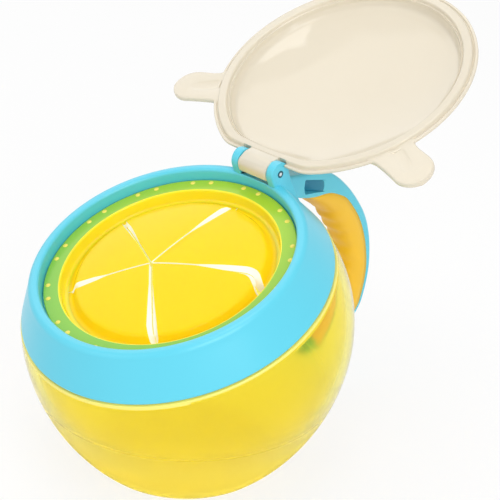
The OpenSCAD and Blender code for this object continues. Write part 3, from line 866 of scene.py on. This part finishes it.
def lid_shell():
    """Low dome, conical skirt out to a thin lip, wide bead underneath. On the hinge side the rim is
    drawn in to a straight line parallel to the pin: the lip's radius is a soft minimum of its own
    and the line's, and all that lies outside LID_INNER moves in with it."""
    outside, inside = lid_arc(LID_BIG, 0, 32.0), lid_arc(LID_BIG - LID_WALL, 30.0, 0)
    rim_line = rounded([(*outside[-1], 0), (33.2, 30.9, 2.5), (37.0, 27.15, 0.8), (LID_LIP, 26.75, 0.3),
                        (LID_LIP, 26.0, 0.3), (37.35, 25.95, 0.2), (37.05, 26.45, 0.15),
                        (36.75, 25.9, 0.15), (36.5, 25.15, 0.8), (34.2, 25.15, 0.8), (34.0, 26.1, 0.2),
                        (33.75, 26.4, 0.15), (33.45, 25.9, 0.25), (33.2, 27.4, 0.8), (32.4, 29.1, 2.0),
                        (30.0, 30.25, 0)], 9)
    outline = np.vstack([outside, dense(rim_line, 0.6)[1:-1], inside])
    a = np.linspace(0, TAU, 360, endpoint=False)
    line = CHORD / np.maximum(np.sin(a), 0.05)
    limit = LID_LIP - CHORD_SOFT * np.logaddexp(0, (LID_LIP - line) / CHORD_SOFT)
    r, h = outline[:, :1], outline[:, 1:]
    drawn = LID_INNER + (r - LID_INNER) * (limit - LID_INNER) / (LID_LIP - LID_INNER)
    r = np.where(r > LID_INNER, drawn, r)
    return piece("lid_shell", in_lid(np.stack([r * np.cos(a), r * np.sin(a), h + 0 * a], -1)))


TAB_ANGLE, TAB_ROOT, TAB_REACH, TAB_R = 27.3, 35.2, 46.5, 5.7
TAB_H, TAB_HALF, TAB_EDGE = 26.75, 0.85, 0.7
# Half widths of a tab as (distance out, half width): on the hinge side, and on the far side.
TAB_NEAR = np.array([(35.2, 9.2), (36.8, 7.9), (38.5, 7.1), (42, 6.4), (46.5, 5.7)])
TAB_FAR = np.array([(35.2, 7.2), (36.8, 5.3), (38.3, 4.6), (40.5, 4.65), (43, 5.2), (45, 5.6), (46.5, 5.7)])
DISH_AT = (42.6, 0.8, 24.6)  # out, towards the hinge, up
DISH_HALF = (8.6, 3.0, 1.75)
DISH_POWER, DISH_FULLER = 0.8, 0.25


def lid_tab(side):
    """Flat tab: straight edge on the hinge side, hollowed edge on the other, round end, and a
    shallow hollow under it."""
    a = math.radians(TAB_ANGLE)
    out, hingeward = np.array([side * math.cos(a), math.sin(a)]), np.array([-side * math.sin(a), math.cos(a)])
    turn = np.linspace(0, QUARTER, 22)[1:]
    run = np.concatenate([np.linspace(TAB_ROOT, TAB_REACH, 30), TAB_REACH + TAB_R * np.sin(turn)])
    round_end = np.sqrt(np.maximum(TAB_R ** 2 - np.maximum(run - TAB_REACH, 0) ** 2, 1e-4))
    edges = []
    for widths, way in ((TAB_NEAR, hingeward), (TAB_FAR, -hingeward)):
        half = np.where(run > TAB_REACH, round_end, np.interp(run, *widths.T))
        plan = run[:, None] * out + way * half[:, None]
        edges.append(np.concatenate([plan, np.full((len(run), 1), TAB_H)], 1))
    tab = bar("tab", *edges, (0, 0, 1), TAB_HALF, TAB_EDGE, TAB_EDGE, in_lid)
    return cut(tab, tab_dish(out, hingeward))


def tab_dish(out, hingeward):
    """Drop shape along the tab, fuller towards the lid: its sections are ellipses whose size goes
    with a power of the sine of the angle along it."""
    t = np.linspace(0, math.pi, 28)[:, None]
    turn = np.linspace(0, TAU, 40, endpoint=False)
    wide = np.sin(t) ** DISH_POWER * (1 - DISH_FULLER * np.cos(t))
    drop = np.stack([DISH_HALF[0] * np.cos(t) + 0 * turn, DISH_HALF[1] * wide * np.cos(turn),
                     DISH_HALF[2] * wide * np.sin(turn)], -1)
    axes = np.array([[*out, 0], [*hingeward, 0], [0, 0, 1]])
    return piece("dish", in_lid((drop + DISH_AT) @ axes))


LUG_HALF, LUG_EDGE, LUG_REACH = 5.2, 0.4, 3.2  # half width, edge round, middle to outline


def lid_lug():
    """Tongue round the pin with a blunt heel, its side edges a quarter round: less the sine of the
    turn in width, less the cosine in outline."""
    edge = rounded([(34.3, 29.6, 0), (33.3, 29.3, 0.6), (33.3, 25.6, 0.8), (36.4, 24.45, 2.5),
                    (40.27, 24.85, 2.1), (40.87, 29.2, 1.6), (36.0, 29.4, 1.5), (34.3, 29.6, 0)], 8)[:-1]
    mid = edge.mean(0)
    beta = np.linspace(0, math.pi / 2, 5)
    shrink = 1 - LUG_EDGE * (1 - np.cos(beta)) / LUG_REACH
    depth = LUG_HALF - LUG_EDGE + LUG_EDGE * np.sin(beta)
    scale = np.concatenate([[0], shrink[::-1], shrink, [0]])
    x = np.concatenate([depth[-1:], depth[::-1], -depth, -depth[-1:]])
    uh = mid + (edge - mid)[None] * scale[:, None, None]
    grid = np.concatenate([np.broadcast_to(x[:, None, None], uh.shape[:2] + (1,)), uh], -1)
    return piece("lug", in_lid(grid))


SLOT_R, SLOT_IN, SLOT_OUT, SLOT_LOW, SLOT_BACK = 3.42, 5.25, 8.0, 18.0, 44.0


def ear_slot(side):
    """Round clearance over one ear's head, open downwards."""
    head = HINGE + polar(SLOT_R, np.linspace(0, 180, 33))
    edge = np.vstack([head, [[HINGE[0] - SLOT_R, SLOT_LOW], [SLOT_BACK, SLOT_LOW]]])
    return prism("ear_slot", edge, side * SLOT_IN, side * SLOT_OUT, in_lid)


def lid():
    """The shell with its two tabs and the lug joined on, and room cut for the ears."""
    shell = lid_shell()
    for side in (-1, 1):
        cut(shell, lid_tab(side), "UNION")
        cut(shell, ear_slot(side))
    cut(shell, lid_lug(), "UNION")
    return sharpen(shell, 32)


dress(lid(), CREAM, "lid", "lid")


# ---------------------------------------- small CAD pieces kept
for kept, mat in (("hinge_pin", STEEL), ("bowl_seal", SEAL)):
    part = frame["nodes"][kept]
    part.data.materials.clear()
    part.data.materials.append(mat)


# ---------------------------------------- camera, floor and light
AZIMUTH, ELEVATION, ROLL = 43.58, 25.34, 2.79  # degrees
EYE_BACK, EYE_RIGHT, EYE_UP = 400, 15.72, 20.11  # mm from the sphere's centre
LENS, SENSOR, NEAREST, FURTHEST = 106.2, 36, 0.01, 20
FLOOR_HALF, FLOOR_Z, FLOOR_GLOW = 6.0, -0.0001, 0.8  # metres, metres, share of its own light
SKY_LIGHT = 0.54
WHITE = (1, 1, 1, 1)


def aimed(obj, right, up, back, place):
    """The object in the scene, its own axes along right, up and back."""
    m = np.eye(4)
    m[:3, 0], m[:3, 1], m[:3, 2], m[:3, 3] = right, up, back, place
    obj.matrix_world = Matrix(m.tolist())
    return linked(obj)


def camera():
    """Camera at the front right and above, rolled a little about its own line of sight."""
    a, e, roll = (math.radians(d) for d in (AZIMUTH, ELEVATION, ROLL))
    back = np.array([math.sin(a) * math.cos(e), -math.cos(a) * math.cos(e), math.sin(e)])
    right = np.array([math.cos(a), math.sin(a), 0])
    up = np.cross(back, right)
    eye = back * EYE_BACK + right * EYE_RIGHT + up * EYE_UP + [0, 0, CENTRE]
    data = bpy.data.cameras.new("camera")
    data.sensor_width, data.lens = SENSOR, LENS
    data.clip_start, data.clip_end = NEAREST, FURTHEST
    x = right * math.cos(roll) + up * math.sin(roll)
    y = -right * math.sin(roll) + up * math.cos(roll)
    bpy.context.scene.camera = aimed(bpy.data.objects.new("camera", data), x, y, back, eye * MM)


def floor():
    """Large pale floor, most of its brightness its own."""
    s, z = FLOOR_HALF, FLOOR_Z
    mesh = bpy.data.meshes.new("floor")
    mesh.from_pydata([(-s, -s, z), (s, -s, z), (s, s, z), (-s, s, z)], [], [(0, 1, 2, 3)])
    mat = bpy.data.materials.new("pale_floor")
    mat.use_nodes = True
    mat.node_tree.nodes.clear()
    plain = node(mat, "BsdfDiffuse", {"Color": (0.95, 0.95, 0.95, 1)})
    glow = node(mat, "Emission", {"Strength": 1.0})
    both = node(mat, "MixShader", {"Fac": FLOOR_GLOW, 1: plain.outputs[0], 2: glow.outputs[0]})
    node(mat, "OutputMaterial", {"Surface": both.outputs[0]})
    mesh.materials.append(mat)
    obj = linked(bpy.data.objects.new("floor", mesh))


def lamp(name, place, target, size, power):
    """Square lamp, its place, target and size in metres and its power in watts."""
    data = bpy.data.lights.new(name, "AREA")
    data.shape, data.size, data.energy = "SQUARE", size, power
    place, target = np.array(place, float), np.array(target, float)
    back = (place - target) / np.linalg.norm(place - target)
    right = np.cross([0, 0, 1], back)
    right /= np.linalg.norm(right)
    aimed(bpy.data.objects.new(name, data), right, np.cross(back, right), back, place)


def world():
    """White where it is seen directly, mirrored or looked through, dimmer as light on the part."""
    w = bpy.data.worlds.new("studio")
    bpy.context.scene.world = w
    w.use_nodes = True
    w.node_tree.nodes.clear()
    sky = node(w, "Background", {"Color": WHITE, "Strength": SKY_LIGHT})
    white = node(w, "Background", {"Color": WHITE, "Strength": 1.0})
    path = node(w, "LightPath").outputs
    seen = path["Is Camera Ray"]
    for ray in ("Is Glossy Ray", "Is Transmission Ray"):
        seen = node(w, "Math", {0: seen, 1: path[ray]}, operation="MAXIMUM").outputs[0]
    both = node(w, "MixShader", {"Fac": seen, 1: sky.outputs[0], 2: white.outputs[0]})
    node(w, "OutputWorld", {"Surface": both.outputs[0]})


camera()
floor()
world()
lamp("overhead", (0.145, -0.14, 1.1), (0, 0, 0.1), 0.5, 2.2)
lamp("wide_behind", (-0.8, 0.3, 1.0), (0, 0, 0.05), 1.3, 4.5)
lamp("right_side", (0.6, -0.3, 0.4), (0, 0, 0.05), 0.5, 2.4)
lamp("front_left", (-0.25, -0.75, 0.45), (0, 0, 0.07), 0.6, 0.9)

scene = bpy.context.scene
scene.view_settings.view_transform = "Standard"
